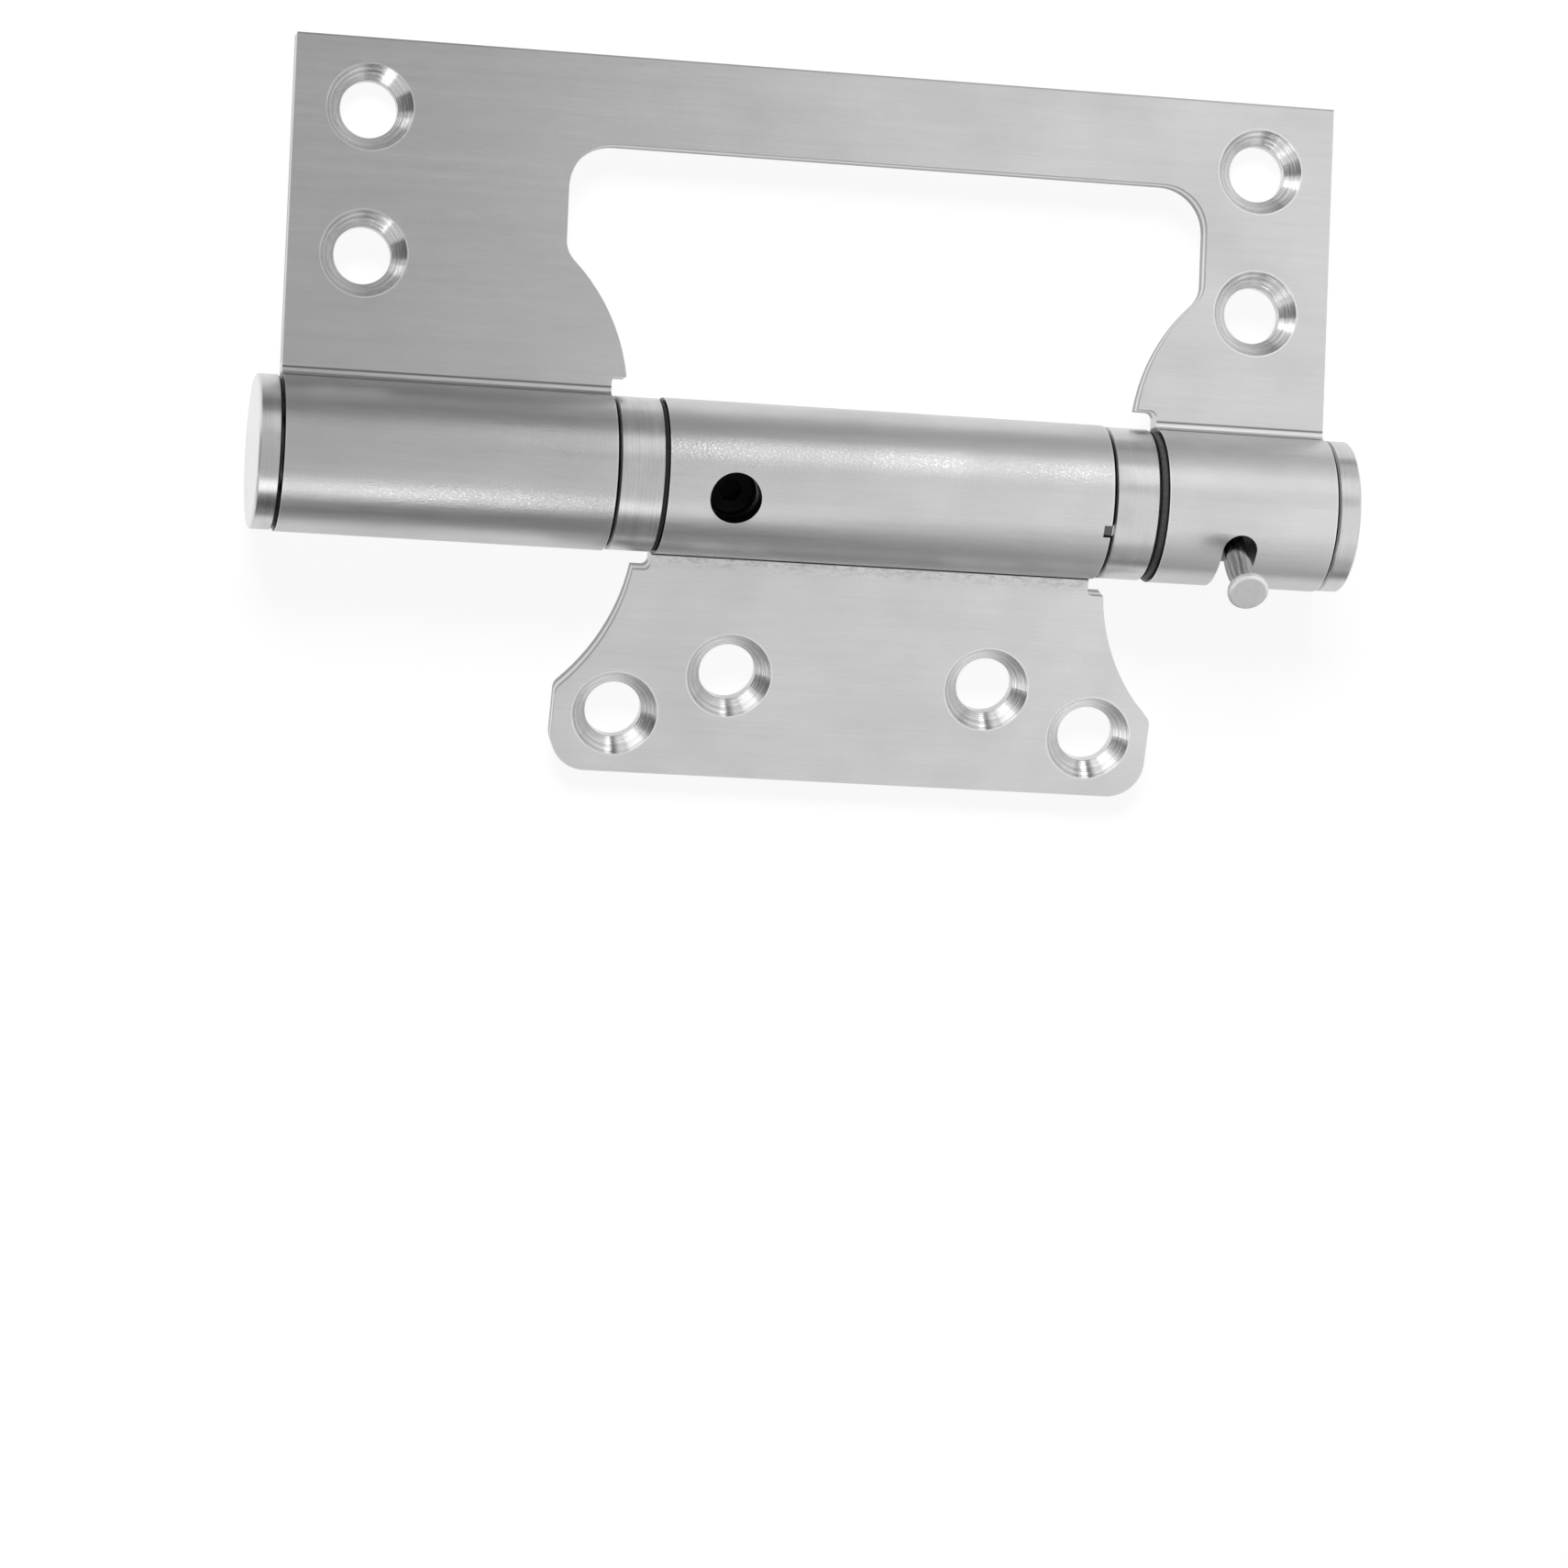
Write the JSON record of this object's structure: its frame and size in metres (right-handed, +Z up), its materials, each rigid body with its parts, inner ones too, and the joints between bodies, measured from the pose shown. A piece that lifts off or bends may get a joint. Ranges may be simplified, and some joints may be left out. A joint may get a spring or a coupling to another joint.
{
  "type": "hydraulic door hinge",
  "caption": "Flush self-closing door hinge: a damper and a torsion spring in the barrel, and a small leaf that folds into a window in the large leaf.",
  "frame": {"origin": "centre of the bounding box on the surface the open hinge lies on", "axes": "+X along the barrel towards the winding slot, +Y towards the outer leaf, +Z up"},
  "size_m": [0.133, 0.0856, 0.0251],
  "materials": {
    "leaf_steel": "satin, brushed along the barrel",
    "turned_steel": "fine turned, satin",
    "drum_steel": "dark turned steel",
    "damper_steel": "ground",
    "spring_steel": "tempered spring steel",
    "black_screw": "black oxide",
    "black_nylon": "moulded, matte",
    "seal_rubber": "moulded"
  },
  "bodies": {
    "outer": {"outer_leaf": "leaf_steel", "left_end_cap": "turned_steel", "right_end_cap": "turned_steel", "damper_cylinder": "damper_steel", "left_collar": "turned_steel", "gland_seal": "seal_rubber", "shaft_seal": "seal_rubber", "thrust_washer": "black_nylon", "nylon_washer": "black_nylon"},
    "inner": {"inner_leaf": "leaf_steel", "drive_plug": "damper_steel", "grub_screw": "black_screw", "damper_shaft": "damper_steel", "cross_pin": "damper_steel", "shaft_clip": "spring_steel", "right_collar": "turned_steel", "torsion_spring": "spring_steel"},
    "piston": {"piston": "damper_steel", "piston_ring": "seal_rubber", "ball_retainer": "damper_steel"},
    "valve_ball": {"check_ball": "damper_steel"},
    "winder": {"winding_spindle": "damper_steel", "winding_drum": "drum_steel", "drum_screw": "black_screw"},
    "pin": {"tension_pin": "turned_steel"}
  },
  "joints": [
    {"name": "leaf_swing", "type": "hinge", "parent": "outer", "child": "inner", "pos_m": [0, -0.00647, 0.0093], "axis": [-1, 0, 0], "range_deg": [0, 201.3], "deforming": ["torsion_spring"]},
    {"name": "piston_slide", "type": "slide", "parent": "outer", "child": "piston", "axis": [-1, 0, 0], "range_m": [0, 0.00932]},
    {"name": "valve_ball_float", "type": "slide", "parent": "piston", "child": "valve_ball", "axis": [1, 0, 0], "range_m": [0, 0.0007]},
    {"name": "tension_adjust", "type": "hinge", "parent": "outer", "child": "winder", "pos_m": [0, -0.00647, 0.0093], "axis": [1, 0, 0], "range_deg": [-6.2, 120]},
    {"name": "pin_pull", "type": "slide", "parent": "winder", "child": "pin", "axis": [0, -0.5255, 0.8508], "range_m": [0, 0.012]}
  ],
  "couplings": [
    {"joint": "piston_slide", "follows": "leaf_swing", "m_per_rad": 0.002654}
  ]
}
